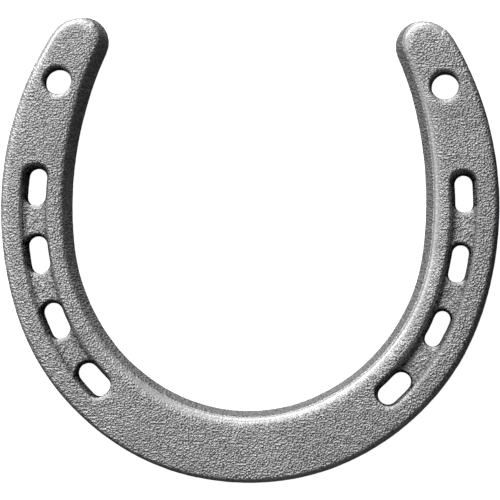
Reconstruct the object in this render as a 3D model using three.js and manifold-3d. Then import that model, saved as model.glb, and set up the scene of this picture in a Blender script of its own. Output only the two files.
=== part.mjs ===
// Horseshoe: one forged steel bar bent to a U, with a crease, nail holes and heel holes.
//
// Frame, in millimetres: the hoof face lies on z = 0 and the ground face is on top. The toe
// points to -Y, the heels to +Y, and the outline mirrors about x = 0. The origin is the
// middle of the outline, on the hoof face.
import * as THREE from 'three';
import { mergeVertices } from 'three/addons/utils/BufferGeometryUtils.js';
import Module from 'manifold-3d';

const wasm = await Module();
wasm.setup();

// ---- driving dimensions ----

const THICKNESS = 8;

// Half of the outline, from the toe's outer edge on the axis of symmetry, round the heel, to
// the toe's inner edge. The arcs are tangent to each other. A positive radius turns left.
// One more arc, from the last one's end back to the axis, closes the toe's inner edge.
const TOE_OUTER_Y = -60.5;
// The bend isn't quite even: the inner edge is moved along X, growing between two Y's.
const OPENING_SHIFT = { amount: -0.3, from: -20, to: 15 };
const HALF_OUTLINE = [
  { radius: 63.7, sweep: 70.7 }, // toe and quarter, outer edge
  { radius: 87.4, sweep: 50.4 }, // branch, outer edge
  { radius: 9.8, sweep: 57.0 }, // heel, outer corner
  { radius: 6.8, sweep: 115.5 }, // heel, inner corner
  { radius: -97, sweep: 31.0 }, // branch, inner edge
  { radius: -48.7, sweep: 52.6 }, // quarter, inner edge
];
const HEEL_FROM = 121; // heading, in degrees, where the heel's rounding starts
const HEEL_TO = 293;

// The section, from the hoof face up: how far it lies inside the outline at the toe's outer
// edge, the branch's outer edge and the whole inner edge. Both walls lean back to a rounded
// edge, the inner one further, and the ground face is slightly crowned.
const SECTION = [
  { z: 0, toe: 0.2, branch: 0.4, inner: 0.4 },
  { z: 0.4, toe: 0, branch: 0, inner: 0 },
  { z: 6.5, toe: 0.15, branch: 0.4, inner: 2.05 },
  { z: 7.05, toe: 0.25, branch: 0.65, inner: 2.3 },
  { z: 7.43, toe: 0.35, branch: 0.95, inner: 2.65 },
  { z: 7.67, toe: 0.5, branch: 1.35, inner: 3.1 },
  { z: 7.79, toe: 0.8, branch: 1.9, inner: 3.7 },
  { z: 7.93, toe: 3, branch: 3.6, inner: 4.9 },
  { z: THICKNESS, toe: 5.6, branch: 5.6, inner: 6.2 },
];
const TOE_TO = 15; // heading, in degrees, where the toe's edge starts to change
const BRANCH_FROM = 75; // and where it has become the branch's

// Nail holes lie on a line along each branch, parallel to the outer edge. From the toe to the
// heel: the distance along that line from the toe, and the width at the hoof face. The two
// branches were punched separately.
const NAIL_LINE_INSET = 9.25; // from the outer edge
const NAIL_HOLES = {
  right: [
    { along: 42.7, width: 5.0 },
    { along: 61.8, width: 4.2 },
    { along: 79.6, width: 4.3 },
    { along: 97.9, width: 4.6 },
  ],
  left: [
    { along: 44.4, width: 5.1 },
    { along: 62.7, width: 4.9 },
    { along: 80.6, width: 4.8 },
    { along: 98.4, width: 4.7 },
  ],
};
const NAIL_HOLE_LENGTH = 9.9;
const NAIL_HOLE_FLARE = { outer: 0.8, inner: 0.4, end: 0.15 }; // under the rounded rim
const RIM_ROUND = 0.4; // of every hole: how wide and how deep its rim is rounded off

// The crease is a groove in the ground face, from the first nail hole to the last. Its reach,
// at its floor and at its mouth, is measured from the nail line towards each edge, and past
// the centres of the round ends of the first and the last hole.
const CREASE_DEPTH = 2.3;
const CREASE_FLOOR = { outer: 3.0, inner: 2.6, end: 2.6 };
const CREASE_MOUTH = { outer: 4.0, inner: 3.55, end: 3.3 };

// One round hole near each heel, countersunk at the ground face.
const HEEL_HOLES = { right: { x: 50.4, y: 43.2 }, left: { x: -50.5, y: 43.4 } };
const HEEL_HOLE_RADIUS = 3.5;
const HEEL_HOLE_RIM_RADIUS = 3.9;
const COUNTERSINK_DEPTH = 2.5;

// Lengths of the flat sides that stand for the curves.
const OUTLINE_STEP = 2.6;
const CORNER_STEP = 15; // degrees
const CUT_MARGIN = 1; // how far a cutter runs past the faces

// ---- chains of tangent arcs ----

const radians = THREE.MathUtils.degToRad;

// A point on an arc's circle. The heading is the direction of travel, from +X towards +Y.
function arcPoint(centre, radius, heading) {
  return new THREE.Vector2(
    centre.x + radius * Math.sin(heading),
    centre.y - radius * Math.cos(heading),
  );
}

// Lays arcs end to end from a start point, heading along +X.
function layArcs(start, arcs) {
  const chain = [];
  let point = start;
  let heading = 0;
  for (const { radius, sweep } of arcs) {
    const centre = new THREE.Vector2(
      point.x - radius * Math.sin(heading),
      point.y + radius * Math.cos(heading),
    );
    const turn = Math.sign(radius) * radians(sweep);
    chain.push({ centre, radius, heading, turn, length: radius * turn });
    heading += turn;
    point = arcPoint(centre, radius, heading);
  }
  return { chain, point, heading };
}

// The last arc of the half outline: its centre is on the axis and it ends heading along -X.
function closingArc({ point, heading }) {
  const radius = point.x / Math.sin(heading);
  const sweep = Math.abs(Math.PI - heading);
  return { radius, sweep: THREE.MathUtils.radToDeg(sweep) };
}

// The point and heading at a distance along a chain.
function pointAlong(chain, distance) {
  let left = distance;
  let index = 0;
  while (index < chain.length - 1 && left > chain[index].length) {
    left -= chain[index].length;
    index += 1;
  }
  const arc = chain[index];
  const heading = arc.heading + left / arc.radius;
  return { point: arcPoint(arc.centre, arc.radius, heading), heading };
}

// ---- outline and body ----

// How much a place on the outline belongs to the inner wall: 0 on the outer edge, 1 on the
// inner edge, and a smooth change round the heel.
function innerShare(heading) {
  return THREE.MathUtils.smoothstep(heading, radians(HEEL_FROM), radians(HEEL_TO));
}

// How much a place on the outer edge belongs to the branch: 0 at the toe, 1 on the branch.
function branchShare(heading) {
  return THREE.MathUtils.smoothstep(heading, radians(TOE_TO), radians(BRANCH_FROM));
}

// The whole outline, counter-clockwise, as points with their outward normals.
function traceOutline() {
  const start = new THREE.Vector2(0, TOE_OUTER_Y);
  const open = layArcs(start, HALF_OUTLINE);
  const arcs = [...HALF_OUTLINE, closingArc(open)];
  const { chain } = layArcs(start, arcs);
  const half = [];
  let pastHeel = 0;
  for (const arc of chain) {
    pastHeel = Math.max(pastHeel, arc.radius < 0 ? 1 : 0);
    const byLength = arc.length / OUTLINE_STEP;
    const byTurn = Math.abs(arc.turn) / radians(CORNER_STEP);
    const steps = Math.ceil(Math.max(byLength, byTurn));
    for (let step = 0; step < steps; step += 1) {
      const heading = arc.heading + (arc.turn * step) / steps;
      half.push({
        point: arcPoint(arc.centre, arc.radius, heading),
        normal: new THREE.Vector2(Math.sin(heading), -Math.cos(heading)),
        inner: pastHeel || innerShare(heading),
        branch: branchShare(heading),
      });
    }
  }
  const last = chain.at(-1);
  half.push({
    point: arcPoint(last.centre, last.radius, last.heading + last.turn),
    normal: new THREE.Vector2(0, 1),
    inner: 1,
    branch: 1,
  });
  const mirrored = half.slice(1, -1).reverse().map(({ point, normal, ...shares }) => ({
    point: new THREE.Vector2(-point.x, point.y),
    normal: new THREE.Vector2(-normal.x, normal.y),
    ...shares,
  }));
  return [...half, ...mirrored];
}

function bodyRing(outline, level) {
  const { amount, from, to } = OPENING_SHIFT;
  const points = outline.map(({ point, normal, inner, branch }) => {
    const outer = THREE.MathUtils.lerp(level.toe, level.branch, branch);
    const inset = THREE.MathUtils.lerp(outer, level.inner, inner);
    const moved = amount * inner * THREE.MathUtils.smoothstep(point.y, from, to);
    return new THREE.Vector2(point.x + moved, point.y).addScaledVector(normal, -inset);
  });
  return { z: level.z, points };
}

// ---- solids ----

// A closed solid through a stack of rings with the same number of points, lowest first.
function loft(rings) {
  const count = rings[0].points.length;
  const positions = rings.flatMap(({ z, points }) => points.flatMap(({ x, y }) => [x, y, z]));
  const faces = [];
  for (let level = 0; level < rings.length - 1; level += 1) {
    for (let side = 0; side < count; side += 1) {
      const next = (side + 1) % count;
      const low = level * count;
      const high = low + count;
      faces.push(low + side, low + next, high + next);
      faces.push(low + side, high + next, high + side);
    }
  }
  const top = (rings.length - 1) * count;
  for (const [a, b, c] of THREE.ShapeUtils.triangulateShape(rings[0].points, [])) {
    faces.push(a, c, b);
  }
  for (const [a, b, c] of THREE.ShapeUtils.triangulateShape(rings.at(-1).points, [])) {
    faces.push(top + a, top + b, top + c);
  }
  const geometry = new THREE.BufferGeometry();
  geometry.setAttribute('position', new THREE.Float32BufferAttribute(positions, 3));
  geometry.setIndex(faces);
  return toSolid(geometry);
}

function toSolid(geometry) {
  const merged = mergeVertices(geometry);
  return new wasm.Manifold(new wasm.Mesh({
    numProp: 3,
    vertProperties: merged.attributes.position.array,
    triVerts: new Uint32Array(merged.index.array),
  }));
}

function toGeometry(solid) {
  const mesh = solid.getMesh();
  const geometry = new THREE.BufferGeometry();
  geometry.setAttribute('position', new THREE.BufferAttribute(mesh.vertProperties, 3));
  geometry.setIndex(new THREE.BufferAttribute(mesh.triVerts, 1));
  geometry.computeVertexNormals();
  return geometry;
}

// ---- crease, nail holes and heel holes ----

function nailLine() {
  const start = new THREE.Vector2(0, TOE_OUTER_Y + NAIL_LINE_INSET);
  const arcs = HALF_OUTLINE.slice(0, 2).map(({ radius, sweep }) => ({
    radius: radius - NAIL_LINE_INSET,
    sweep,
  }));
  return layArcs(start, arcs).chain;
}

// A band with round ends about a stretch of a chain, counter-clockwise. Its reach may differ
// towards the outer edge, towards the inner edge and at the ends. On the left branch, mirror
// is -1.
function bandRing(chain, { from, to }, { outer, inner, end }, z, mirror) {
  const steps = Math.max(1, Math.ceil((to - from) / OUTLINE_STEP));
  const corner = radians(CORNER_STEP);
  const halfTurn = Math.PI / corner;
  const places = [];
  for (let step = 0; step <= steps; step += 1) {
    places.push({ along: from + ((to - from) * step) / steps, turn: 0 });
  }
  for (let step = 1; step < halfTurn; step += 1) {
    places.push({ along: to, turn: step * corner });
  }
  for (let step = steps; step >= 0; step -= 1) {
    places.push({ along: from + ((to - from) * step) / steps, turn: Math.PI });
  }
  for (let step = 1; step < halfTurn; step += 1) {
    places.push({ along: from, turn: Math.PI + step * corner });
  }
  const points = places.map(({ along, turn }) => {
    const { point, heading } = pointAlong(chain, along);
    const sideways = THREE.MathUtils.lerp(inner, outer, (1 + Math.cos(turn)) / 2);
    const reach = THREE.MathUtils.lerp(sideways, end, Math.sin(turn) ** 2);
    const side = arcPoint(point, reach, heading + turn);
    return new THREE.Vector2(mirror * side.x, side.y);
  });
  return { z, points: mirror < 0 ? points.reverse() : points };
}

// The stretch of the nail line between the centres of a hole's round ends.
function holeStretch({ along, width }) {
  const straight = (NAIL_HOLE_LENGTH - width) / 2;
  return { from: along - straight, to: along + straight };
}

function creaseCutter(chain, holes, mirror) {
  const stretch = { from: holeStretch(holes[0]).from, to: holeStretch(holes.at(-1)).to };
  const rise = 1 + CUT_MARGIN / CREASE_DEPTH;
  const above = Object.fromEntries(Object.keys(CREASE_FLOOR).map((way) => (
    [way, THREE.MathUtils.lerp(CREASE_FLOOR[way], CREASE_MOUTH[way], rise)]
  )));
  return loft([
    bandRing(chain, stretch, CREASE_FLOOR, THICKNESS - CREASE_DEPTH, mirror),
    bandRing(chain, stretch, above, THICKNESS + CUT_MARGIN, mirror),
  ]);
}

function nailHoleCutter(chain, hole, mirror) {
  const floor = THICKNESS - CREASE_DEPTH;
  const levels = [
    { z: -CUT_MARGIN, opened: 0 },
    { z: floor / 4, opened: 0 },
    { z: floor - RIM_ROUND, opened: 1 },
    { z: floor, opened: 1, rim: RIM_ROUND },
    { z: THICKNESS + CUT_MARGIN, opened: 1, rim: RIM_ROUND },
  ];
  return loft(levels.map(({ z, opened, rim = 0 }) => {
    const reach = Object.fromEntries(Object.keys(NAIL_HOLE_FLARE).map((way) => (
      [way, hole.width / 2 + opened * NAIL_HOLE_FLARE[way] + rim]
    )));
    return bandRing(chain, holeStretch(hole), reach, z, mirror);
  }));
}

function heelHoleCutter(centre) {
  const levels = [
    { z: -CUT_MARGIN, radius: HEEL_HOLE_RADIUS },
    { z: THICKNESS - COUNTERSINK_DEPTH, radius: HEEL_HOLE_RADIUS },
    { z: THICKNESS - RIM_ROUND, radius: HEEL_HOLE_RIM_RADIUS },
    { z: THICKNESS, radius: HEEL_HOLE_RIM_RADIUS + RIM_ROUND },
    { z: THICKNESS + CUT_MARGIN, radius: HEEL_HOLE_RIM_RADIUS + RIM_ROUND },
  ];
  const sides = 360 / CORNER_STEP;
  return loft(levels.map(({ z, radius }) => ({
    z,
    points: Array.from({ length: sides }, (_, side) => (
      arcPoint(centre, radius, side * radians(CORNER_STEP))
    )),
  })));
}

function cutBranch(body, side) {
  const chain = nailLine();
  const holes = NAIL_HOLES[side];
  const mirror = side === 'left' ? -1 : 1;
  const cutters = [
    creaseCutter(chain, holes, mirror),
    ...holes.map((hole) => nailHoleCutter(chain, hole, mirror)),
    heelHoleCutter(HEEL_HOLES[side]),
  ];
  return cutters.reduce((rest, cutter) => rest.subtract(cutter), body);
}

// ---- the part ----

// Moves the shoe so that the middle of its outline is on the origin.
function centreInPlan(geometry) {
  geometry.computeBoundingBox();
  const middle = geometry.boundingBox.getCenter(new THREE.Vector3());
  return geometry.translate(-middle.x, -middle.y, 0);
}

function makeHorseshoe() {
  const outline = traceOutline();
  const body = loft(SECTION.map((level) => bodyRing(outline, level)));
  const solid = cutBranch(cutBranch(body, 'right'), 'left');
  const steel = new THREE.MeshStandardMaterial({
    color: 0x8c8c8c,
    roughness: 0.45,
    metalness: 0.9,
  });
  const mesh = new THREE.Mesh(centreInPlan(toGeometry(solid)), steel);
  mesh.name = 'horseshoe';
  return mesh;
}

const part = new THREE.Group();
part.add(makeHorseshoe());

export default part;
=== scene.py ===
"""A forged steel horseshoe, seen from above on a white ground.

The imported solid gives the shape. This script turns it into a fine, soft-edged mesh with the
slight unevenness of a forging, and gives it bare, blast-cleaned steel.
"""

import itertools
import math

import bmesh
import bpy
import numpy as np
from mathutils import Matrix, Vector


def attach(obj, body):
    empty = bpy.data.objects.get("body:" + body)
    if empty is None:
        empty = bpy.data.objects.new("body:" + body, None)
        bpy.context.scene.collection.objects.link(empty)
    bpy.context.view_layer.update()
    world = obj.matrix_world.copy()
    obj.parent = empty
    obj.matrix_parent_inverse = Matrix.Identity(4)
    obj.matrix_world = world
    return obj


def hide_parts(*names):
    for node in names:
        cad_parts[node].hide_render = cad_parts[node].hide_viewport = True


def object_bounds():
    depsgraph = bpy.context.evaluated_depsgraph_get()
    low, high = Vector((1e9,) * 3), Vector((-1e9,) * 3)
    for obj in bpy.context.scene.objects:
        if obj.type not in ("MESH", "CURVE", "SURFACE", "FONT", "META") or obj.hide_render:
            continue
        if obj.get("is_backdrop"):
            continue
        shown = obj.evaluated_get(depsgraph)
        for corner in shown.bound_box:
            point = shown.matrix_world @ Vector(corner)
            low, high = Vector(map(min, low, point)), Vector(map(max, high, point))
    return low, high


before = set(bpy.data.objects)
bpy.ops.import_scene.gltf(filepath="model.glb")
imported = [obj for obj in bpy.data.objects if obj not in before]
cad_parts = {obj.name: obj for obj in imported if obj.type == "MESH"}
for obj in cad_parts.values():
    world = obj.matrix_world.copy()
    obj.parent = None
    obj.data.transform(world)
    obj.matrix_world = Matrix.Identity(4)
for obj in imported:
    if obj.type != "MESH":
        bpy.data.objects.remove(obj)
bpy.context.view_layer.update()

MM = 0.001

# ---- mesh helpers ----


def apply_modifiers(piece):
    """Gives the piece the mesh that its modifiers make."""
    before = piece.data
    evaluated = piece.evaluated_get(bpy.context.evaluated_depsgraph_get())
    piece.data = bpy.data.meshes.new_from_object(evaluated)
    piece.modifiers.clear()
    bpy.data.meshes.remove(before)
    piece.data.name = piece.name


def read_vectors(items, field):
    values = np.zeros(len(items) * 3, np.float32)
    items.foreach_get(field, values)
    return values.reshape(-1, 3).astype(float)


def mesh_edges(mesh):
    edges = np.zeros(len(mesh.edges) * 2, np.int32)
    mesh.edges.foreach_get("vertices", edges)
    return edges.reshape(-1, 2)


def store(mesh, name, values):
    layer = mesh.attributes.new(name, "FLOAT", "POINT")
    layer.data.foreach_set("value", values.astype(np.float32))


def edge_average(edges, values):
    """The mean of each vertex's neighbours, for a table with a row for each vertex."""
    count = np.bincount(edges.ravel(), minlength=len(values))
    average = np.zeros_like(values)
    for column in range(values.shape[1]):
        one_way = np.bincount(edges[:, 0], values[edges[:, 1], column], len(values))
        other_way = np.bincount(edges[:, 1], values[edges[:, 0], column], len(values))
        average[:, column] = (one_way + other_way) / count
    return average


def spread(edges, values, steps):
    """Averages each vertex's value with its neighbours', over and over."""
    column = values[:, None]
    for _ in range(steps):
        column = (column + edge_average(edges, column)) / 2
    return column[:, 0]


# ---- the fine mesh ----

MERGE_DISTANCE = 0.001 * MM
VOXEL = 0.27 * MM
SMOOTH_FACTOR = 0.5
SMOOTH_STEPS = 3
FACES = 195_000  # triangles kept


def fine_copy(node, name):
    """A closed mesh with even faces all over, through the CAD node's surface."""
    built = bmesh.new()
    built.from_mesh(node.data)
    bmesh.ops.remove_doubles(built, verts=built.verts, dist=MERGE_DISTANCE)
    source = bpy.data.meshes.new(name + "_source")
    built.to_mesh(source)
    built.free()
    piece = bpy.data.objects.new(name, source)
    bpy.context.scene.collection.objects.link(piece)
    remesh = piece.modifiers.new("remesh", "REMESH")
    remesh.mode = "VOXEL"
    remesh.voxel_size = VOXEL
    remesh.use_smooth_shade = True
    smooth = piece.modifiers.new("soften", "SMOOTH")
    smooth.factor = SMOOTH_FACTOR
    smooth.iterations = SMOOTH_STEPS
    apply_modifiers(piece)
    return piece


def thin_out(piece):
    """Joins faces where the surface is plain, so that the piece keeps FACES triangles."""
    triangles = 2 * len(piece.data.polygons)  # the remesh makes quads
    thin = piece.modifiers.new("thin", "DECIMATE")
    thin.ratio = FACES / triangles
    apply_modifiers(piece)


# ---- wear with painted highlight, and painted shade in hollows and holes, as marks on the mesh from 0 to 1 ----

# How far a vertex stands out from its neighbours where an edge can take all of its polish and
# painted highlight, and how far it lies back where the surface counts as fully hollow and takes
# all of the painted shade of a hollow.
FULL_EDGE = 0.004 * MM
FULL_HOLLOW = 0.006 * MM

# Averaging steps.
HOLLOW_SPREAD = 3
EDGE_SPREAD = 14
POLISH_HIGHLIGHT_SPREAD = 4
HOLE_SHADE_SPREAD = 1

# How much an edge is polished and lightened with painted highlight, by its surface's slope.
POLISH_HIGHLIGHT_SLOPES = [0, 3, 7, 52, 68]  # degrees
POLISH_HIGHLIGHT_AMOUNTS = [0, 0, 1, 1, 0]

# The side that the most polished edges of the outline face, close to the side the key light
# comes from, so that the painted highlight lies on lit edges; and the share of polish and
# painted highlight by the cosine of an edge's angle from that side.
OUTLINE_LIT_SIDE = math.radians(125)
OUTLINE_TURNS = [-0.1, 0.45]
OUTLINE_SHARES = [0.1, 1]

# The outer edge has only a share of that, which grows to all of it at the heels.
OUTER_SHARE = 0.4
HEEL_FROM = [42 * MM, 50 * MM]

# The same as for the outline, for the edges of the crease and the holes, with a side close to
# the low light's.
RIM_LIT_SIDE = math.radians(100)
RIM_TURNS = [0.55, 0.85]
RIM_SHARES = [0, 0.8]

# An edge belongs to the outline when a level ray from in front of it meets nothing. The ray
# runs at the mean height of the shoe's vertices, with this start and reach.
OUTLINE_START = 4.5 * MM
OUTLINE_REACH = 25 * MM

# Painted shade is put inside the holes, where a level ray meets the wall across. How dark it is,
# by the wall's slope and its depth below the ground face.
HOLE_START = 0.6 * MM
HOLE_REACH = 12 * MM
HOLE_SHADE_SLOPES = [38, 60]  # degrees
HOLE_SHADE_DEPTHS = [1.2 * MM, 3.0 * MM]

SHORTEST_LEVEL = 1e-6  # guards the division where a normal has no level part


def is_open(piece, point, normal, start, reach):
    """Whether a level ray from in front of a point meets nothing."""
    away = Vector((normal[0], normal[1], 0)).normalized()
    return not piece.ray_cast(Vector(point) + away * start, away, distance=reach)[0]


def share_by_side(level, side, turns, shares):
    """A share for each level direction, by the cosine of its angle from the side."""
    cosine = level @ np.array([math.cos(side), math.sin(side)])
    return np.interp(cosine, turns, shares)


def polish_and_highlight_edges(piece, points, normals, slope, bulge):
    """How much each vertex is polished by wear and lightened with painted highlight."""
    polish_and_highlight = np.clip(bulge / FULL_EDGE, 0, 1)
    polish_and_highlight *= np.interp(slope, POLISH_HIGHLIGHT_SLOPES, POLISH_HIGHLIGHT_AMOUNTS)
    length = np.linalg.norm(normals[:, :2], axis=1)
    level = normals[:, :2] / np.maximum(length, SHORTEST_LEVEL)[:, None]
    outline_share = share_by_side(level, OUTLINE_LIT_SIDE, OUTLINE_TURNS, OUTLINE_SHARES)
    is_outer = (level * points[:, :2]).sum(axis=1) > 0
    outer_share = np.interp(points[:, 1], HEEL_FROM, [OUTER_SHARE, 1])
    outline_share *= np.where(is_outer, outer_share, 1)
    rim_share = share_by_side(level, RIM_LIT_SIDE, RIM_TURNS, RIM_SHARES)
    middle = points[:, 2].mean()
    for index in np.flatnonzero(polish_and_highlight):
        place = (points[index, 0], points[index, 1], middle)
        is_outline = is_open(piece, place, normals[index], OUTLINE_START, OUTLINE_REACH)
        polish_and_highlight[index] *= outline_share[index] if is_outline else rim_share[index]
    return polish_and_highlight


def shade_in_holes(piece, points, normals, slope):
    """How much painted shade each vertex gets inside the holes."""
    depth = points[:, 2].max() - points[:, 2]
    hole_shade = np.interp(slope, HOLE_SHADE_SLOPES, [0, 1]) * np.interp(depth, HOLE_SHADE_DEPTHS, [0, 1])
    for index in np.flatnonzero(hole_shade):
        if is_open(piece, points[index], normals[index], HOLE_START, HOLE_REACH):
            hole_shade[index] = 0
    return hole_shade


def mark_surface(piece):
    """Stores where the surface is worn and lightened with painted highlight, where painted shade
    lies inside the holes, and where it is hollow and takes painted shade.
    """
    mesh = piece.data
    points = read_vectors(mesh.vertices, "co")
    normals = read_vectors(mesh.vertices, "normal")
    edges = mesh_edges(mesh)
    slope = np.degrees(np.arccos(np.clip(np.abs(normals[:, 2]), 0, 1)))
    bulge = ((points - edge_average(edges, points)) * normals).sum(axis=1)
    near_bulge = spread(edges, bulge, HOLLOW_SPREAD)
    wide_bulge = spread(edges, near_bulge, EDGE_SPREAD)
    bpy.context.view_layer.update()
    polish_and_highlight = polish_and_highlight_edges(piece, points, normals, slope, wide_bulge)
    hole_shade = shade_in_holes(piece, points, normals, slope)
    # Worn edges, lighter in the material as painted highlight where they face the lights.
    store(mesh, "worn_and_highlight", spread(edges, polish_and_highlight, POLISH_HIGHLIGHT_SPREAD))
    # Painted shade inside the holes.
    store(mesh, "hole_shade", spread(edges, hole_shade, HOLE_SHADE_SPREAD))
    # Hollows, darker in the material as painted shade.
    store(mesh, "hollow", np.clip(-near_bulge / FULL_HOLLOW, 0, 1))


# ---- unevenness ----

# Along the surface's normal: wavelength and height of each layer, the share of it that wear
# takes away, and its seed.
UNEVENNESS = [
    (22 * MM, 0.10 * MM, 0, 11),
    (7 * MM, 0.04 * MM, 0.3, 12),
    (2.2 * MM, 0.025 * MM, 0.8, 13),
    (1.2 * MM, 0.03 * MM, 1, 14),
]
NOISE_VALUES = 4096
# How far apart neighbouring lattice corners lie in the list of random values, along X, Y and Z.
NOISE_STRIDES = np.array([1, 157, 113 * 157])


def lattice_noise(points, wavelength, seed):
    """Smooth noise between -1 and 1: a random value at each lattice corner, blended."""
    values = np.random.default_rng(seed).uniform(-1, 1, NOISE_VALUES)
    place = points / wavelength
    cell = np.floor(place).astype(int)
    part = place - cell
    fade = part * part * (3 - 2 * part)
    total = np.zeros(len(points))
    for corner in itertools.product((0, 1), repeat=3):
        weight = np.where(corner, fade, 1 - fade).prod(axis=1)
        total += weight * values[(cell + corner) @ NOISE_STRIDES % NOISE_VALUES]
    return total


def make_uneven(mesh):
    points = read_vectors(mesh.vertices, "co")
    normals = read_vectors(mesh.vertices, "normal")
    worn_and_highlight = np.zeros(len(points), np.float32)
    mesh.attributes["worn_and_highlight"].data.foreach_get("value", worn_and_highlight)
    height = sum(
        lattice_noise(points, wavelength, seed) * amount * (1 - ironed * worn_and_highlight)
        for wavelength, amount, ironed, seed in UNEVENNESS
    )
    points += normals * height[:, None]
    mesh.vertices.foreach_set("co", points.astype(np.float32).ravel())
    mesh.update()


# ---- materials ----


class Shader:
    """A material's node tree, with short ways to add and link nodes."""

    def __init__(self, name):
        self.material = bpy.data.materials.new(name)
        self.material.use_nodes = True
        self.tree = self.material.node_tree

    def feed(self, socket, value):
        if isinstance(value, bpy.types.NodeSocket):
            self.tree.links.new(value, socket)
        else:
            socket.default_value = value

    def add(self, kind, inputs=None, **settings):
        node = self.tree.nodes.new(kind)
        for field, value in settings.items():
            setattr(node, field, value)
        for socket, value in (inputs or {}).items():
            self.feed(node.inputs[socket], value)
        return node

    def noise(self, place, size, detail, roughness):
        """Noise about 0.5, with features of the given size."""
        inputs = {
            "Vector": place,
            "Scale": 1 / size,
            "Detail": detail,
            "Roughness": roughness,
        }
        return self.add("ShaderNodeTexNoise", inputs).outputs["Fac"]

    def math(self, operation, first, second):
        inputs = {0: first, 1: second}
        return self.add("ShaderNodeMath", inputs, operation=operation).outputs[0]

    def plus(self, value, mark, amount):
        """The value, with the amount added to it where the mark is 1."""
        return self.math("ADD", value, self.math("MULTIPLY", mark, amount))

    def remap(self, value, low, high, to_low, to_high):
        inputs = {"Value": value, 1: low, 2: high, 3: to_low, 4: to_high}
        return self.add("ShaderNodeMapRange", inputs).outputs[0]

    def grey(self, value):
        """A colour between black, at 0 and below, and white, at 1 and above."""
        return self.add("ShaderNodeValToRGB", {"Fac": value}).outputs["Color"]

    def attribute(self, name):
        return self.add("ShaderNodeAttribute", attribute_name=name).outputs["Fac"]

    def finish(self, inputs):
        """Feeds the surface's own sockets, and gives the material."""
        surface = self.tree.nodes["Principled BSDF"]
        for socket, value in inputs.items():
            self.feed(surface.inputs[socket], value)
        return self.material


# Noise textures: size of the features, detail and roughness.
GRAIN = (0.48 * MM, 0.5, 0.4)
PITS = (2.4 * MM, 2, 0.5)
PATCHES = (14 * MM, 3, 0.55)
NOISE_RANGE = (0.3, 0.7)  # most of a noise texture lies between these
WALL_STRETCH = 0.3  # the noise is longer on the walls, along their height

RELIEF_HEIGHT = 0.64 * MM
PIT_RELIEF = 0.6  # beside 1 for the grain
FULL_WEAR = 0.8  # the worn mark at which the grain is as flat as wear makes it
WORN_RELIEF = 0.12  # the share of the grain that is left there

# The steel's grey and roughness go from the first value to the second over the patches.
STEEL_GREY = (0.50, 0.60)
STEEL_ROUGHNESS = (0.62, 0.54)
STEEL_METALLIC = 0.5

# What the grain, either way, and each mark add to the grey: painted highlight on worn edges,
# painted shade in hollows and inside the holes; and what wear adds to the roughness.
GRAIN_TINT = 0.18
PAINTED_HIGHLIGHT_TINT = 0.16
HOLLOW_SHADE_TINT = -0.18
HOLE_SHADE_TINT = -0.34
WORN_ROUGHNESS = -0.16


def forged_steel():
    shader = Shader("forged_steel")
    place = shader.add("ShaderNodeTexCoord").outputs["Object"]
    stretch = {0: place, 1: (1, 1, WALL_STRETCH)}
    place = shader.add("ShaderNodeVectorMath", stretch, operation="MULTIPLY").outputs[0]
    worn_and_highlight = shader.attribute("worn_and_highlight")
    hollow = shader.attribute("hollow")
    hole_shade = shader.attribute("hole_shade")
    flattened = shader.remap(worn_and_highlight, 0, FULL_WEAR, 1, WORN_RELIEF)

    grain = shader.noise(place, *GRAIN)
    pits = shader.noise(place, *PITS)
    relief = shader.math("MULTIPLY", shader.plus(grain, pits, PIT_RELIEF), flattened)
    bump = shader.add("ShaderNodeBump", {"Height": relief, "Distance": RELIEF_HEIGHT})

    patches = shader.noise(place, *PATCHES)
    tint = shader.remap(grain, *NOISE_RANGE, -GRAIN_TINT, GRAIN_TINT)
    base = shader.remap(patches, *NOISE_RANGE, *STEEL_GREY)
    base = shader.plus(base, tint, flattened)
    # Painted highlight: worn edges that face the lights are made lighter.
    base = shader.plus(base, worn_and_highlight, PAINTED_HIGHLIGHT_TINT)
    # Painted shade: hollows are made darker.
    base = shader.plus(base, hollow, HOLLOW_SHADE_TINT)
    # Painted shade: hole walls that face the wall across are made darker.
    base = shader.plus(base, hole_shade, HOLE_SHADE_TINT)

    rough = shader.remap(patches, *NOISE_RANGE, *STEEL_ROUGHNESS)
    return shader.finish({
        "Base Color": shader.grey(base),
        "Metallic": STEEL_METALLIC,
        "Roughness": shader.plus(rough, worn_and_highlight, WORN_ROUGHNESS),
        "Normal": bump.outputs["Normal"],
    })


WHITE = (1, 1, 1, 1)
GROUND_COLOUR = (0.8, 0.8, 0.8, 1)


def white_ground():
    return Shader("white_ground").finish({
        "Base Color": GROUND_COLOUR,
        "Roughness": 1,
        "Specular IOR Level": 0,
        "Emission Color": WHITE,
        "Emission Strength": 1,
    })


# ---- floor, light and camera ----

FLOOR_REACH = 4
BACKDROP_HEIGHT = 3


def add_floor(lowest):
    """White ground that turns up at its far edges, as a studio's backdrop does."""
    mesh = bpy.data.meshes.new("floor")
    sides = ((-1, -1), (1, -1), (1, 1), (-1, 1))
    corners = [
        (x * FLOOR_REACH, y * FLOOR_REACH, z) for z in (0, BACKDROP_HEIGHT) for x, y in sides
    ]
    walls = [(side, (side + 1) % 4, (side + 1) % 4 + 4, side + 4) for side in range(4)]
    mesh.from_pydata(corners, [], [(0, 1, 2, 3), *walls])
    mesh.materials.append(white_ground())
    floor = bpy.data.objects.new("floor", mesh)
    floor.location.z = lowest
    floor.visible_glossy = False
    floor.visible_diffuse = False
    floor.visible_shadow = False
    bpy.context.scene.collection.objects.link(floor)
    floor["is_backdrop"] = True


# Azimuth from +X towards +Y and elevation in degrees, distance and size in metres, and watts.
SOFTBOXES = {
    "key": (119, 40, 1.2, 0.42, 9.1),
    "low": (92, 20, 1.0, 0.40, 2.6),
    "side": (160, 42, 0.6, 0.30, 0.6),
    "fill": (-75, 8, 1.0, 0.40, 0.7),
}
WORLD_STRENGTH = 0.018


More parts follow.
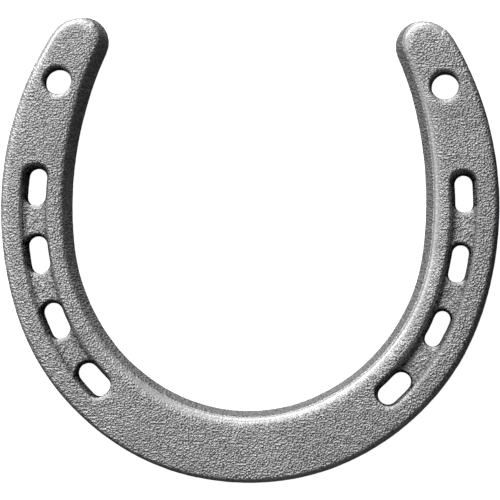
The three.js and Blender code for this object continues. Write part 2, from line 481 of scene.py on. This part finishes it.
def softbox(name, azimuth, elevation, distance, size, watts):
    """A square light that faces the origin."""
    around = math.radians(azimuth)
    up = math.radians(elevation)
    direction = Vector((
        math.cos(up) * math.cos(around),
        math.cos(up) * math.sin(around),
        math.sin(up),
    ))
    data = bpy.data.lights.new(name, "AREA")
    data.size = size
    data.energy = watts
    lamp = bpy.data.objects.new(name, data)
    lamp.location = direction * distance
    lamp.rotation_euler = direction.to_track_quat("Z", "Y").to_euler()
    lamp.visible_camera = False
    bpy.context.scene.collection.objects.link(lamp)


def add_world():
    world = bpy.data.worlds.new("studio")
    world.use_nodes = True
    background = world.node_tree.nodes["Background"]
    background.inputs["Color"].default_value = WHITE
    background.inputs["Strength"].default_value = WORLD_STRENGTH
    bpy.context.scene.world = world


# The camera stands almost straight over the shoe, leaning to the right and to the toe.
VIEW_LEAN_RIGHT = 3.6  # degrees
VIEW_LEAN_TOE = 5.5  # degrees
VIEW_ROLL = 1.05  # degrees
VIEW_WIDTH = 130.2 * MM  # what the picture takes in, at the target
VIEW_DISTANCE = 1.5
VIEW_TARGET = Vector((0.15 * MM, 0.11 * MM, 0))
VIEW_END = 20  # how far the camera sees


def add_camera():
    data = bpy.data.cameras.new("camera")
    data.lens = data.sensor_width * VIEW_DISTANCE / VIEW_WIDTH
    data.clip_end = VIEW_END
    camera = bpy.data.objects.new("camera", data)
    back = Vector((
        math.tan(math.radians(VIEW_LEAN_RIGHT)),
        -math.tan(math.radians(VIEW_LEAN_TOE)),
        1,
    )).normalized()
    roll = math.radians(VIEW_ROLL)
    image_up = Vector((-math.sin(roll), math.cos(roll), 0))
    right = image_up.cross(back).normalized()
    up = back.cross(right)
    turn = Matrix((right, up, back)).transposed()
    camera.matrix_world = Matrix.LocRotScale(VIEW_TARGET + back * VIEW_DISTANCE, turn, None)
    bpy.context.scene.collection.objects.link(camera)
    bpy.context.scene.camera = camera


# ---- the scene ----

shoe = fine_copy(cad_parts["horseshoe"], "forged_shoe")
mark_surface(shoe)
make_uneven(shoe.data)
thin_out(shoe)
shoe.data.materials.clear()
shoe.data.materials.append(forged_steel())
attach(shoe, "root")
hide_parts("horseshoe")

add_floor(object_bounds()[0].z)
for name, setting in SOFTBOXES.items():
    softbox(name, *setting)
add_world()
add_camera()
bpy.context.scene.view_settings.view_transform = "Standard"
